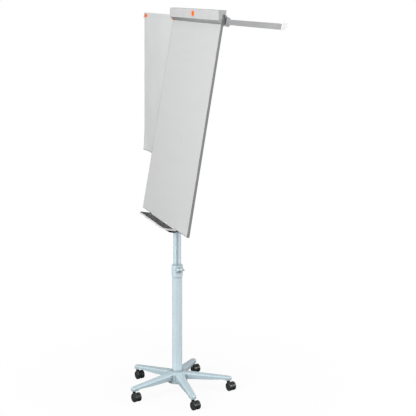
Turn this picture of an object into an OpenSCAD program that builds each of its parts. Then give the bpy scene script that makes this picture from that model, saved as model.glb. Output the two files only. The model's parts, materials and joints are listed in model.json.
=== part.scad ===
// Mobile flipchart easel: five-star castor base, height-adjustable mast, tilting magnetic board,
// hinged pad clamp, pen tray and two telescoping side arms, one of them carrying a hung sheet.
// Axes: +Z up, the board faces -Y, +X is to the right of a person reading it.
// The origin is on the floor, on the axis of the mast.

/* [Base] */
// Distance from the mast axis to each castor stem
leg_reach = 250; // [220:1:300]
// Turn of the five-star base about the mast
base_turn = -1.5; // [-36:0.5:36]
// Height of the underside of the legs above the floor
leg_under_z = 51; // [50:0.5:53]
// Height of the top of the legs at the tip
leg_tip_z = 60; // [58:0.5:64]
// Height of the top of the legs at the hub
leg_root_z = 88; // [84:0.5:94]
// Width of a leg at the hub
leg_root_w = 46; // [42:1:50]
// Width of a leg at the tip
leg_tip_w = 30; // [28:1:34]
// Radius of the hub
hub_r = 48; // [46:0.5:50]

/* [Castors] */
// Diameter of a castor wheel
wheel_d = 40; // [38:1:42]
// Width of one wheel
wheel_w = 13.4; // [11:0.1:14]
// Gap between the two wheels of a castor
wheel_gap = 10.2; // [9:0.1:12]
// Horizontal distance from the swivel axis to the axle
castor_trail = 20; // [20:0.5:22]
// Direction that every castor trails in, seen from above
castor_heading = 16; // [-90:1:90]

/* [Mast] */
// Outer radius of the lower tube
lower_r = 24; // [23:0.5:25]
// Height of the top of the lower tube
lower_top_z = 592; // [580:1:620]
// Outer radius of the upper tube
upper_r = 19; // [18.5:0.5:19]
// Height of the lower end of the upper tube
upper_low_z = 398; // [390:1:410]
// Radius of the clamp collar
collar_r = 27; // [26.5:0.5:28]
// Turn of the grooves in the tubes away from the X axis
flute_turn = -12; // [-20:1:20]

/* [Board] */
// Width of the board over its frame
board_w = 700; // [680:1:720]
// Height of the board's writing surface
board_h = 984; // [980:1:990]
// Thickness of the board over its frame
board_t = 12; // [11.5:0.1:12.5]
// Lean of the board from the vertical, top edge back
board_lean = 9.76; // [5:0.01:15]
// Distance of the board's lower front edge in front of the mast axis
board_front = 70.8; // [68:0.1:74]
// Height of the board's lower front edge
board_low_z = 821.5; // [815:0.5:830]
// Height of the tilt axis above the lower edge, along the board
pivot_up = 175; // [170:1:180]
// Distance of the tilt axis behind the board's front face
pivot_back = 42.5; // [42:0.1:43]

/* [Pad clamp] */
// Half of the clamp bar's length over its end caps
header_half = 360; // [355:1:365]
// Height of the clamp bar's front face
flap_h = 46.5; // [44:0.5:48]

/* [Tray] */
// Length of the pen tray
tray_len = 395; // [360:1:420]
// Depth of the pen tray in front of the board
tray_deep = 66; // [60:1:70]

/* [Side arms] */
// Distance of each arm tip from the middle of the board
arm_tip = 957; // [940:1:960]
// Length of an arm
arm_len = 690; // [650:1:695]
// Height of an arm's face
arm_h = 25; // [24:0.5:26]
// Thickness of an arm
arm_t = 6; // [5.8:0.1:6.2]
// Left edge of the hung sheet
sheet_left = -937; // [-940:1:-930]
// Width of the hung sheet
sheet_w = 557; // [540:1:560]
// Drop of the hung sheet below its crease
sheet_drop = 760; // [700:5:780]

/* [Hidden] */
$fn = 64;

leg_count = 5;
leg_step = 360 / leg_count;
run_gap = 0.05;         // radial clearance of every running fit
slip_gap = 0.3;         // clearance beside sliding and swinging parts
cut = 1;                // how far a cutter runs past the face that it opens

leg_tip_r = leg_tip_w / 2;
leg_wall = 3;
leg_bevel = 4;          // inset on the top face of the bevel round a leg
leg_bevel_turn = 48;
leg_arch = [150, 6];    // reach and height of the arch under a leg
leg_foot = [228, 236];  // where the foot under a leg's tip starts and is full depth
foot_z = 45.5;
hub_rim_z = 82.8;
hub_bevel = 3;
stem_r = 4;
stem_low_z = 24;
stem_high_z = 58;
hub_low_z = 38.5;
hub_top_z = 90;
hub_floor_z = 52;
bolt_r = 5;
bolt_head_h = 6.5;
washer_t = 2;

wheel_r = wheel_d / 2;
axle_r = 3;
hood_half = wheel_gap / 2 - slip_gap;
hood_top_z = 39.4;
hood_boss_z = 36.6;

lower_bore = 21;
upper_bore = 12.4;
bush_low_z = 540;
bush_flange_t = 13.6;
collar_low_z = 552;
collar_top_z = 604;
collar_screw_x = 28;
collar_screw_z = 586;
glide_h = 30;
head_low_z = 932;
head_plug_z = 910;

pivot_y = board_y(pivot_back, pivot_up);
pivot_z = board_z(pivot_back, pivot_up);
cheek_gap = 16;
cheek_t = 8;
tilt_bolt_r = 4;
lug_half = 14;
washer_r = 13;
rib_reach = 36;
plate_screw_x = 50;     // screws of the board's bracket, from its middle
plate_screw_z = 60;

frame_wall = 1.2;
frame_lip = 2.6;
tray_floor = -2.4;
tray_lip = 4;
mat_rim = 3.6;
tray_wall = 1.6;
tray_flange = 5;
tray_corner = 16;
tray_screw_x = [-174, 174];
tray_screw_y = -14;
panel_top = board_h;
strip_top = 1031;       // the edging's outer wall runs on up past the panel
sheet_metal_t = 1;
back_sheet_t = 0.8;

corner = [-25.9, 1045.5];          // front top edge of the clamp bar, along and behind the board
flap_t = 2.4;
top_back = plumb(38.4, 0);         // back top edge of the clamp bar
barrel_r = 3.6;
barrel_c = plumb(barrel_r, -barrel_r);
pin_r = 1.5;
cap_t = 4;
cap_back = -3.4;        // back edge of the end caps, in front of the side edging
knuckle_x = 306;
knuckle_w = 12;
rail_screw_x = [-300, -100, 100, 300];
rail_screw_y = 29;
spring_x = 292;
spring_w = 10;
hook_x = 200;
hook_z = 1000.3;
button_w = 28;
button_h = 22;
button_z = -22;

rail_half = 345;
rail_top = 1020;
arm_z = 999;
left_arm_y = 20;
right_arm_y = 28;
web_y = 26.3;
groove_w = 2;
rib_w = 1.6;
strip_h = 31;
strip_t = 0.9;
peg_y = 12.6;
peg_r = 10;
peg_z = 996;
crease_z = arm_z - strip_h / 2;
crease_y = left_arm_y - 0.5;
crease_gap = 0.6;       // keeps the strip clear of the sheet's corners as it swings

paint = [0.74, 0.82, 0.86];
light_grey = [0.86, 0.87, 0.87];
mid_grey = [0.68, 0.69, 0.71];
dark_grey = [0.45, 0.45, 0.46];
liner_grey = [0.36, 0.36, 0.37];
near_black = [0.1, 0.1, 0.11];
steel = [0.7, 0.7, 0.72];
orange = [1, 0.4, 0.05];

// Place of a point y behind the board's front face and z up along it, as Y and as Z
function board_y(y, z) = -board_front + z * sin(board_lean) + y * cos(board_lean);
function board_z(y, z) = board_low_z + z * cos(board_lean) - y * sin(board_lean);
// A point given in plumb steps from the clamp bar's front top edge, in the board's own directions
function plumb(y, z) = corner + [
    y * cos(board_lean) - z * sin(board_lean),
    y * sin(board_lean) + z * cos(board_lean)
];

// ---- shared shapes ----

// Puts a child drawn in the board's own directions into place
module on_board() {
    translate([0, -board_front, board_low_z]) rotate([-board_lean, 0, 0]) children();
}

// Runs a flat profile, drawn as [y, z], along X
module along_x(x0, x1) {
    translate([x0, 0, 0]) rotate([90, 0, 90]) linear_extrude(x1 - x0) children();
}

// Round bar along X through [y, z]
module bar_x(x0, x1, at, r) {
    translate([x0, at[0], at[1]]) rotate([0, 90, 0]) cylinder(h = x1 - x0, r = r);
}

// Flat rectangle from one corner to the other
module rect(low, high) {
    translate(low) square(high - low);
}

// Rectangle with round corners, centred
module round_rect(w, h, r) {
    square([w - 2 * r, h], center = true);
    square([w, h - 2 * r], center = true);
    for (x = [-1, 1], y = [-1, 1]) translate([x * (w / 2 - r), y * (h / 2 - r)]) circle(r);
}

// Copies a child on both sides of the board's middle
module both_sides() {
    children();
    mirror([1, 0, 0]) children();
}

module at_leg(k) {
    rotate(base_turn + k * leg_step) children();
}

// ---- base ----

// Plan of a leg: a taper with a round tip
module leg_plan(inset) {
    polygon([
        [0, -leg_root_w / 2 + inset], [leg_reach, -leg_tip_r + inset],
        [leg_reach, leg_tip_r - inset], [0, leg_root_w / 2 - inset]
    ]);
    translate([leg_reach, 0]) circle(leg_tip_r - inset);
}

// Side view of a leg, drawn as [distance from the mast, height]
module leg_side(low, drop) {
    tip_x = leg_reach + leg_tip_r + cut;
    foot = low - leg_under_z + foot_z;
    polygon([
        [0, low + leg_arch[1]], [leg_arch[0], low], [leg_foot[0], low], [leg_foot[1], foot],
        [tip_x, foot], [tip_x, leg_tip_z - drop], [0, leg_root_z - drop]
    ]);
}

module leg_solid(inset, low, drop) {
    intersection() {
        translate([0, 0, foot_z - 2 * cut]) linear_extrude(leg_root_z) leg_plan(inset);
        rotate([90, 0, 0]) linear_extrude(2 * leg_root_w, center = true) leg_side(low, drop);
    }
}

// Wedges that bevel a leg's long top edges, and a cone that bevels its round tip
module leg_edge_cuts() {
    fall = atan((leg_root_z - leg_tip_z) / (leg_reach + leg_tip_r));
    narrow = atan((leg_root_w - leg_tip_w) / 2 / leg_reach);
    for (side = [0, 1]) mirror([0, side, 0])
        translate([0, leg_root_w / 2 - leg_bevel, leg_root_z])
            rotate([0, fall, -narrow]) rotate([-leg_bevel_turn, 0, 0])
                translate([-20, -30, 0]) cube([2 * leg_reach, 60, 30]);
    translate([leg_reach, 0, leg_tip_z - leg_bevel + 1]) difference() {
        translate([0, -leg_root_w / 2, 0]) cube([leg_root_w, leg_root_w, 20]);
        cylinder(h = 10, r1 = leg_tip_r, r2 = leg_tip_r - 10);
    }
}

module leg_shell() {
    difference() {
        leg_solid(0, leg_under_z, 0);
        leg_edge_cuts();
        difference() {
            leg_solid(leg_wall + 2.5, leg_under_z - cut, leg_wall + 3);
            cylinder(h = 2 * hub_top_z, r = hub_r - 3);
            translate([leg_foot[0] - 6, -leg_root_w, 0]) cube([100, 2 * leg_root_w, leg_root_z]);
        }
        translate([leg_reach, 0, 0]) cylinder(h = stem_high_z + 1, r = stem_r + run_gap);
    }
}

module base_star() {
    color(paint) difference() {
        union() {
            for (k = [0 : leg_count - 1]) at_leg(k) leg_shell();
            translate([0, 0, hub_low_z]) cylinder(h = hub_rim_z - hub_bevel - hub_low_z, r = hub_r);
            translate([0, 0, hub_rim_z - hub_bevel])
                cylinder(h = hub_bevel, r1 = hub_r, r2 = hub_r - hub_bevel);
            translate([0, 0, hub_rim_z])
                cylinder(h = hub_top_z - hub_rim_z, r1 = hub_r - hub_bevel, r2 = lower_r + 2);
        }
        translate([0, 0, hub_floor_z]) cylinder(h = hub_top_z, r = lower_r + run_gap);
        translate([0, 0, hub_low_z - cut]) cylinder(h = 6 + cut, r = hub_r - 5);
        translate([0, 0, hub_low_z]) cylinder(h = hub_top_z, r = bolt_r + run_gap);
    }
}

module hub_bolt() {
    seat = hub_low_z + 6;
    color(steel) {
        translate([0, 0, seat - washer_t]) cylinder(h = washer_t, r = 12);
        translate([0, 0, seat - washer_t - bolt_head_h]) cylinder(h = bolt_head_h, r = 9, $fn = 6);
        translate([0, 0, seat - washer_t]) cylinder(h = 28, r = bolt_r);
    }
}

module castor_stems() {
    color(near_black) for (k = [0 : leg_count - 1]) at_leg(k) translate([leg_reach, 0, 0]) {
        translate([0, 0, stem_low_z]) cylinder(h = stem_high_z - stem_low_z, r = stem_r);
        translate([0, 0, foot_z - 2.2]) cylinder(h = 2, r = 7);
    }
}

// ---- castors ----

// Moves a child from the trail frame of castor k to its place under leg k
module at_castor(k) {
    turn = base_turn + (k - 1) * leg_step;
    translate([leg_reach * cos(turn), leg_reach * sin(turn), 0]) rotate(castor_heading) children();
}

// Hood between the wheels, with the axle pressed through it
module castor_hood(k) {
    color(near_black) at_castor(k) difference() {
        union() {
            rotate([90, 0, 0]) linear_extrude(2 * hood_half, center = true) {
                intersection() {
                    translate([castor_trail, wheel_r]) circle(wheel_r - 1.5);
                    translate([0, wheel_r - 6]) square([2 * castor_trail, hood_top_z]);
                }
                rect([-stem_r - 2, wheel_r + 2], [castor_trail, hood_boss_z]);
            }
            translate([0, 0, hood_boss_z]) cylinder(h = hood_top_z - hood_boss_z, r = stem_r + 3.5);
            translate([castor_trail, 0, wheel_r]) rotate([90, 0, 0])
                cylinder(h = wheel_gap + 2 * wheel_w - 3.6, r = axle_r, center = true);
        }
        translate([0, 0, wheel_r]) cylinder(h = wheel_d, r = stem_r + run_gap);
    }
}

// One wheel: tread with rounded shoulders, dished outer face, blind bore for the axle
module castor_wheel(k, side) {
    shoulder = 2.5;
    dish = 1.6;
    color(near_black) at_castor(k)
        translate([castor_trail, side * wheel_gap / 2, wheel_r]) rotate([-90 * side, 0, 0])
            rotate_extrude($fn = 96) difference() {
                union() {
                    rect([0, 0], [wheel_r, wheel_w - shoulder]);
                    rect([0, 0], [wheel_r - shoulder, wheel_w]);
                    translate([wheel_r - shoulder, wheel_w - shoulder]) circle(shoulder);
                }
                rect([-cut, -cut], [axle_r + run_gap, wheel_w - 1.6]);
                rect([7, wheel_w - dish], [wheel_r - 5, wheel_w + cut]);
            }
}

// ---- mast ----

// Two shallow grooves down the flanks of a tube of radius r
module tube_flutes(r, groove_r, depth, z0, z1) {
    rotate(flute_turn) for (side = [-1, 1])
        translate([side * (r + groove_r - depth), 0, z0]) cylinder(h = z1 - z0, r = groove_r);
}

module lower_tube() {
    color(paint) difference() {
        translate([0, 0, hub_floor_z]) cylinder(h = lower_top_z - hub_floor_z, r = lower_r);
        translate([0, 0, hub_floor_z - cut]) cylinder(h = lower_top_z, r = lower_bore);
        tube_flutes(lower_r, 70, 1.2, hub_top_z + 4, collar_low_z - 4);
    }
}

module tube_plug() {
    color(near_black) difference() {
        translate([0, 0, hub_floor_z + 0.1]) cylinder(h = 22, r = lower_bore - run_gap);
        translate([0, 0, hub_floor_z - cut]) cylinder(h = 40, r = bolt_r + run_gap);
    }
}

module guide_bush() {
    color(near_black) difference() {
        union() {
            translate([0, 0, bush_low_z]) cylinder(h = lower_top_z - bush_low_z, r = lower_bore - run_gap);
            translate([0, 0, lower_top_z]) cylinder(h = bush_flange_t, r = lower_r);
        }
        translate([0, 0, bush_low_z - cut]) cylinder(h = 80, r = upper_r + run_gap);
    }
}

// Collar round the tube's mouth, split on one side and drawn together by a screw along Y
module clamp_collar() {
    color(paint) difference() {
        union() {
            translate([0, 0, collar_low_z]) cylinder(h = collar_top_z - collar_low_z, r = collar_r);
            translate([collar_screw_x, 0, collar_screw_z]) rotate([90, 0, 0])
                cylinder(h = 30, r = 8.5, center = true);
            translate([12, -15, collar_screw_z - 8.5]) cube([16, 30, 17]);
        }
        translate([0, 0, collar_low_z - cut]) cylinder(h = 80, r = lower_r + run_gap);
        translate([collar_screw_x, 0, collar_screw_z]) rotate([90, 0, 0])
            cylinder(h = 50, r = 3 + run_gap, center = true);
        translate([10, -1, collar_low_z + 14]) cube([40, 2, 60]);
    }
}

module clamp_screw() {
    color(paint) translate([collar_screw_x, 0, collar_screw_z]) rotate([-90, 0, 0]) {
        translate([0, 0, -14]) cylinder(h = 32, r = 3);
        translate([0, 0, 15.3]) cylinder(h = 5, r = 4.6);
        translate([0, 0, 20.3]) cylinder(h = 6.5, r = 5.6, $fn = 12);
    }
}

module upper_tube() {
    color(paint) difference() {
        translate([0, 0, upper_low_z]) cylinder(h = head_low_z - upper_low_z, r = upper_r);
        translate([0, 0, upper_low_z - cut]) cylinder(h = head_low_z, r = upper_bore);
        tube_flutes(upper_r, 9, 5.4, upper_low_z - cut, head_low_z + cut);
    }
}

module tube_glide() {
    color(near_black) difference() {
        translate([0, 0, upper_low_z - 4]) cylinder(h = glide_h, r = lower_bore - run_gap);
        translate([0, 0, upper_low_z]) cylinder(h = glide_h, r = upper_r + 0.02);
        translate([0, 0, upper_low_z - 5]) cylinder(h = glide_h, r = upper_bore - 2);
    }
}

// ---- tilt head ----

module tilt_head() {
    color(near_black) difference() {
        union() {
            translate([0, 0, head_plug_z]) cylinder(h = head_low_z - head_plug_z, r = upper_bore - run_gap);
            translate([0, 0, head_low_z]) cylinder(h = 14, r = upper_r + 2.5);
            for (side = [-1, 1]) {
                x0 = side > 0 ? cheek_gap : -cheek_gap - cheek_t;
                bar_x(x0, x0 + cheek_t, [pivot_y, pivot_z], washer_r + 2);
                translate([x0, pivot_y - washer_r - 2, head_low_z + 2])
                    cube([cheek_t, 2 * washer_r + 4, pivot_z - head_low_z - 2]);
            }
            translate([-cheek_gap - cheek_t, pivot_y - washer_r - 2, head_low_z + 6])
                cube([2 * (cheek_gap + cheek_t), 2 * washer_r + 4, 10]);
        }
        bar_x(-40, 40, [pivot_y, pivot_z], tilt_bolt_r + run_gap);
    }
}

module tilt_bolt() {
    color(steel) {
        bar_x(-cheek_gap - cheek_t, 44, [pivot_y, pivot_z], tilt_bolt_r);
        translate([-cheek_gap - cheek_t - 5, pivot_y, pivot_z]) rotate([0, 90, 0])
            cylinder(h = 5, r = 7.5, $fn = 6);
    }
}

// Five-lobed hand knob on the tilt bolt
module tilt_knob() {
    x0 = cheek_gap + cheek_t + slip_gap;
    color(near_black) difference() {
        union() {
            bar_x(x0, x0 + 8, [pivot_y, pivot_z], 9);
            bar_x(x0 + 6, x0 + 22, [pivot_y, pivot_z], 16);
            for (k = [0 : 4])
                bar_x(x0 + 6, x0 + 22, [pivot_y + 15 * cos(72 * k), pivot_z + 15 * sin(72 * k)], 6);
        }
        bar_x(0, x0 + 20.5, [pivot_y, pivot_z], tilt_bolt_r + run_gap);
    }
}

module friction_washers() {
    color(liner_grey) both_sides() difference() {
        bar_x(lug_half + 0.05, cheek_gap - 0.05, [pivot_y, pivot_z], washer_r);
        bar_x(0, cheek_gap + cut, [pivot_y, pivot_z], tilt_bolt_r + run_gap);
    }
}

// Plate screwed to the board's back, with the lug that turns on the tilt bolt
module board_bracket() {
    color(near_black) on_board() difference() {
        union() {
            translate([0, board_t + 2.1, pivot_up]) rotate([90, 0, 0])
                linear_extrude(4, center = true) round_rect(130, 150, 12);
            bar_x(-lug_half, lug_half, [pivot_back, pivot_up], washer_r);
            along_x(-lug_half, lug_half)
                rect([board_t + 2, pivot_up - washer_r], [pivot_back, pivot_up + washer_r]);
            for (x = [-10, 10]) along_x(x - 2, x + 2) polygon([
                [board_t + 2, pivot_up - rib_reach], [pivot_back - 8, pivot_up - washer_r + 2],
                [pivot_back - 8, pivot_up + washer_r - 2], [board_t + 2, pivot_up + rib_reach]
            ]);
        }
        bar_x(-lug_half - cut, lug_half + cut, [pivot_back, pivot_up], tilt_bolt_r + run_gap);
        bracket_holes(2.6, 20);
    }
}

module bracket_holes(r, h) {
    for (x = [-1, 1] * plate_screw_x, z = [-1, 1] * plate_screw_z)
        translate([x, board_t + 10, pivot_up + z]) rotate([90, 0, 0]) cylinder(h = h, r = r, center = true);
}

module bracket_screws() {
    color(steel) on_board() for (x = [-1, 1] * plate_screw_x, z = [-1, 1] * plate_screw_z)
        translate([x, board_t, pivot_up + z]) rotate([-90, 0, 0]) {
            translate([0, 0, 4.2]) cylinder(h = 2.6, r = 4.5);
            translate([0, 0, -7]) cylinder(h = 12, r = 2.5);
        }
}

// ---- board ----

// A flat layer of the board, from y0 to y1 in depth, inset from the frame's outside
module board_layer(y0, y1, inset, top) {
    translate([-board_w / 2 + inset, y0, inset]) cube([board_w - 2 * inset, y1 - y0, top - inset]);
}

module writing_panel() {
    notch = tray_len + 1;
    color(light_grey) on_board() difference() {
        board_layer(0, sheet_metal_t, frame_lip, panel_top);
        translate([-notch / 2, -cut, 0]) cube([notch, 2 * cut + sheet_metal_t, tray_flange + 0.5]);
    }
}

module panel_core() {
    color([0.8, 0.76, 0.66]) on_board() difference() {
        board_layer(sheet_metal_t + 0.02, board_t - frame_wall - back_sheet_t - 0.02, frame_wall, panel_top);
        bracket_bores();
    }
}

module back_panel() {
    color(mid_grey) on_board() difference() {
        board_layer(board_t - frame_wall - back_sheet_t, board_t, frame_lip, panel_top);
        bracket_bores();
    }
}

module bracket_bores() {
    for (x = [-1, 1] * plate_screw_x, z = [-1, 1] * plate_screw_z)
        translate([x, 5, pivot_up + z]) rotate([-90, 0, 0]) cylinder(h = 10, r = 2.5);
}

// U-shaped edging, drawn as [x, y] for the right edge with its open side to the left
module edging() {
    difference() {
        rect([-frame_lip, 0], [0, board_t]);
        rect([-frame_lip - cut, sheet_metal_t], [-frame_wall, board_t - frame_wall - back_sheet_t]);
    }
}

module side_frames() {
    color(dark_grey) on_board() both_sides() translate([board_w / 2, 0, 0]) {
        linear_extrude(panel_top) edging();
        translate([-frame_wall, 0, panel_top - 10]) cube([frame_wall, board_t, strip_top - panel_top + 10]);
    }
}

module bottom_frame() {
    color(dark_grey) on_board() along_x(-board_w / 2 + frame_lip, board_w / 2 - frame_lip) difference() {
        rect([0, 0], [board_t, frame_lip]);
        rect([sheet_metal_t, frame_wall], [board_t - frame_wall - back_sheet_t, frame_lip + cut]);
    }
}

// ---- pen tray ----

// Plan of the tray, pulled in on every side
module tray_plan(inset) {
    w = tray_len - 2 * inset;
    d = tray_deep - 2 * inset;
    r = tray_corner - inset;
    translate([0, -inset]) {
        translate([-w / 2, -d + r]) square([w, d - r]);
        translate([-w / 2 + r, -d]) square([w - 2 * r, r]);
        for (x = [-1, 1]) translate([x * (w / 2 - r), -d + r]) circle(r);
    }
}

module pen_tray() {
    base = tray_floor - tray_wall;
    color(light_grey) on_board() translate([0, -slip_gap, 0]) {
        difference() {
            translate([0, 0, base]) linear_extrude(tray_lip - base) tray_plan(0);
            translate([0, 0, tray_floor]) linear_extrude(20) tray_plan(tray_wall);
            tray_bores(2.05);
        }
        along_x(-tray_len / 2, tray_len / 2) rect([-tray_wall, base], [0, tray_flange]);
    }
}

module tray_bores(r) {
    for (x = tray_screw_x) translate([x, tray_screw_y, tray_floor - 30]) cylinder(h = 40, r = r);
}

// Dark ribbed liner in the tray, turned up at the front and the ends
module tray_mat() {
    pitch = 7;
    edge = tray_wall + 0.3;
    floor_t = 1.2;
    w = tray_len - 2 * edge - 14;
    count = floor(w / pitch);
    color(liner_grey) on_board() difference() {
        translate([0, -slip_gap, tray_floor + 0.05]) {
            difference() {
                linear_extrude(mat_rim - tray_floor) tray_plan(edge);
                translate([0, 0, floor_t]) linear_extrude(20) tray_plan(edge + 1.6);
                translate([-w / 2 - 4, -edge - 2, floor_t]) cube([w + 8, 4, 20]);
            }
            for (k = [0 : count])
                translate([-w / 2 + k * pitch, -tray_deep + 10, 1]) cube([2.4, tray_deep - 18, floor_t]);
        }
        translate([0, -slip_gap, 0]) tray_bores(5);
    }
}

module tray_bracket() {
    top = tray_floor - tray_wall - 0.1;
    color(dark_grey) on_board() difference() {
        along_x(-tray_len / 2 + 6, tray_len / 2 - 6) polygon([
            [-52, top], [-30, top - 9], [-8, top - 10], [board_t, top - 4], [board_t, -0.1],
            [0, -0.1], [0, top]
        ]);
        along_x(-tray_len / 2, tray_len / 2) polygon([
            [-46, top - 2], [-30, top - 7.4], [-8, top - 8.4], [-3, top - 8], [-3, top - 2]
        ]);
        translate([0, -slip_gap, 0]) tray_bores(1.85);
    }
}

module tray_screws() {
    color(steel) on_board() for (x = tray_screw_x) translate([x, tray_screw_y - slip_gap, tray_floor]) {
        translate([0, 0, 0.05]) cylinder(h = 2.4, r = 4.4);
        translate([0, 0, -7]) cylinder(h = 8, r = 1.8);
    }
}

// ---- pad clamp ----

// Fixed spine of the clamp bar: back wall, top wall, backing block and the flange over the arm rail
module header_profile() {
    inner_top = plumb(8, -2.4);
    back_in = plumb(34, -2.4);
    polygon([
        [board_t, panel_top + 2], [board_t, rail_top], [34, rail_top], [34, rail_top + 3],
        [board_t, rail_top + 3], top_back, plumb(8, 0), inner_top, back_in,
        [board_t - 3, 1000], [0, 1000], [0, panel_top + 2]
    ]);
}

module header_rail() {
    color(light_grey) on_board() difference() {
        union() {
            along_x(-header_half + cap_t, header_half - cap_t) header_profile();
            for (x = [-1, 1]) along_x(x * knuckle_x - knuckle_w / 2, x * knuckle_x + knuckle_w / 2) {
                translate(barrel_c) circle(barrel_r - 0.2);
                polygon([barrel_c + [0, -2], plumb(12, -4), plumb(12, -1), plumb(5, -0.6)]);
            }
        }
        both_sides() bar_x(spring_x - 10, knuckle_x + 20, barrel_c, pin_r + run_gap);
        both_sides() header_cutaway();
        rail_screw_bores(2.1, 12);
    }
}

// Room at each end of the spine for the side edging and the rail's end cover
module header_cutaway() {
    edge = board_w / 2 - frame_wall - 0.2;
    along_x(edge, header_half) rect([-cut, panel_top], [board_t + cut, strip_top + 0.4]);
    along_x(rail_half, header_half) rect([board_t, rail_top - cut], [40, rail_top + 3 + cut]);
}

module rail_screw_bores(r, h) {
    for (x = rail_screw_x) translate([x, rail_screw_y, rail_top - 5]) cylinder(h = h, r = r);
}

module rail_screws() {
    color(steel) on_board() for (x = rail_screw_x) translate([x, rail_screw_y, rail_top]) {
        translate([0, 0, 3.05]) cylinder(h = 2.2, r = 3.6);
        translate([0, 0, -2.4]) cylinder(h = 6, r = 2);
    }
}

// Swinging front of the clamp bar: hinge barrel, plumb front face and the lip that grips the pad
module flap_profile() {
    difference() {
        union() {
            translate(barrel_c) circle(barrel_r);
            polygon([
                plumb(0, -barrel_r), plumb(0, -flap_h), plumb(14.7, -61.6), plumb(15.4, -59.2),
                plumb(flap_t, -flap_h + 1), plumb(flap_t, -barrel_r)
            ]);
        }
        translate(barrel_c) circle(pin_r + run_gap);
    }
}

module clamp_flap() {
    notch_low = spring_x - spring_w / 2 - 1;
    notch_high = knuckle_x + knuckle_w / 2 + 0.5;
    color(light_grey) on_board() difference() {
        along_x(-header_half + cap_t + slip_gap, header_half - cap_t - slip_gap) flap_profile();
        both_sides() along_x(notch_low, notch_high) translate(barrel_c) circle(barrel_r + slip_gap);
        on_flap() button_hole(0.25, -5, 8);
    }
    color(light_grey) on_board() on_flap() latch_box();
}

// Bridge behind the button that the leaf spring pushes against
module latch_box() {
    half = button_w / 2 + 4;
    difference() {
        translate([-half - 1.5, flap_t - 0.2, button_z - 12]) cube([2 * half + 3, 10, 24]);
        translate([-half, flap_t - cut, button_z - 20]) cube([2 * half, 9.6, 40]);
    }
}

// Puts a child drawn about the clamp bar's front top edge, square to the floor, into place
module on_flap() {
    translate([0, corner[0], corner[1]]) rotate([board_lean, 0, 0]) children();
}

module button_hole(gap, y0, y1) {
    translate([0, y1, button_z]) rotate([90, 0, 0])
        linear_extrude(y1 - y0) round_rect(button_w + 2 * gap, button_h + 2 * gap, 4 + gap);
}

module latch_button() {
    color(orange) on_board() on_flap() {
        button_hole(0, -2.6, flap_t + 1.2);
        translate([0, flap_t + 2.6, button_z]) rotate([90, 0, 0])
            linear_extrude(2.4) round_rect(button_w + 5, button_h + 5, 5);
    }
}

// Bowed leaf that pushes the button out
module latch_spring() {
    y0 = flap_t + 2.8;
    color(steel) on_board() on_flap() along_x(-4, 4) translate([y0, button_z]) polygon([
        [0, -2], [0.3, -2], [5, -12], [5.4, -12], [0.5, 0], [5.4, 12], [5, 12], [0.3, 2], [0, 2]
    ]);
}

module end_caps() {
    color(mid_grey) on_board() both_sides() along_x(header_half - cap_t, header_half) union() {
        translate(barrel_c) circle(barrel_r);
        polygon([
            plumb(barrel_r, 0), plumb(0, -barrel_r), plumb(0, -flap_h), plumb(12, -58.6),
            [cap_back, strip_top + 0.2], [board_t, strip_top + 0.2], top_back
        ]);
    }
}

module hinge_pins() {
    color(steel) on_board() both_sides()
        bar_x(spring_x - 9.5, knuckle_x + 19.5, barrel_c, pin_r);
}

// Torsion spring round each hinge pin, its coils touching
module flap_springs() {
    wire = 0.6;
    turns = 8;
    color(steel) on_board() both_sides() translate([spring_x - spring_w / 2 + wire, 0, 0]) {
        translate([0, barrel_c[0], barrel_c[1]]) rotate([0, 90, 0]) rotate_extrude()
            for (k = [0 : turns - 1]) translate([2.5, k * 1.1]) circle(wire);
    }
}

module pad_hook(x) {
    color(near_black) on_board() {
        translate([x - 12, 0.3, hook_z]) cube([24, board_t - 3.8, 12]);
        translate([x - 12, -3, hook_z]) cube([24, 3.4, 12]);
        translate([x, -2.9, hook_z + 6]) rotate([90, 0, 0]) cylinder(h = 6.8, r = 3);
        translate([x, -9.7, hook_z + 6]) rotate([90, 0, 0]) cylinder(h = 1.4, r = 4);
    }
}

module pad_hook_left() { pad_hook(-hook_x); }

module pad_hook_right() { pad_hook(hook_x); }

// ---- side arms ----

module rail_profile() {
    low = arm_z - arm_h / 2 - 2;
    rect([35.5, low], [38.5, rail_top]);
    rect([web_y, low], [web_y + 1.4, rail_top]);
    rect([board_t + 1, rail_top - 2.5], [38.5, rail_top]);
    rect([left_arm_y + 2.2, low], [38.5, low + 1.7]);
    for (y = [left_arm_y, right_arm_y]) {
        rect([y + 2.2, arm_z + arm_h / 2 - 1.8], [y + 2.2 + rib_w, rail_top]);
        rect([y + 2.2, low], [y + 2.2 + rib_w, arm_z - arm_h / 2 + 1.8]);
    }
}

module arm_rail() {
    color(mid_grey) on_board() difference() {
        along_x(-rail_half, rail_half) rail_profile();
        rail_screw_bores(2.1, 12);
    }
}

// Arm section: two shallow grooves on its face and a guide slot in each edge
module arm_profile(y) {
    difference() {
        rect([y, arm_z - arm_h / 2], [y + arm_t, arm_z + arm_h / 2]);
        for (z = [-5, 5]) rect([y - cut, arm_z + z - 1.2], [y + 1, arm_z + z + 1.2]);
        for (z = [-1, 1]) translate([y + 2 + groove_w / 2, arm_z + z * arm_h / 2])
            square([groove_w, 4], center = true);
    }
}

module left_arm() {
    color(mid_grey) on_board() along_x(-arm_tip, -arm_tip + arm_len) arm_profile(left_arm_y);
}

module right_arm() {
    color(mid_grey) on_board() along_x(arm_tip - arm_len, arm_tip) arm_profile(right_arm_y);
}

module arm_window(y, gap) {
    rect([y - gap, arm_z - arm_h / 2 - gap], [y + arm_t + gap, arm_z + arm_h / 2 + gap]);
}

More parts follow.
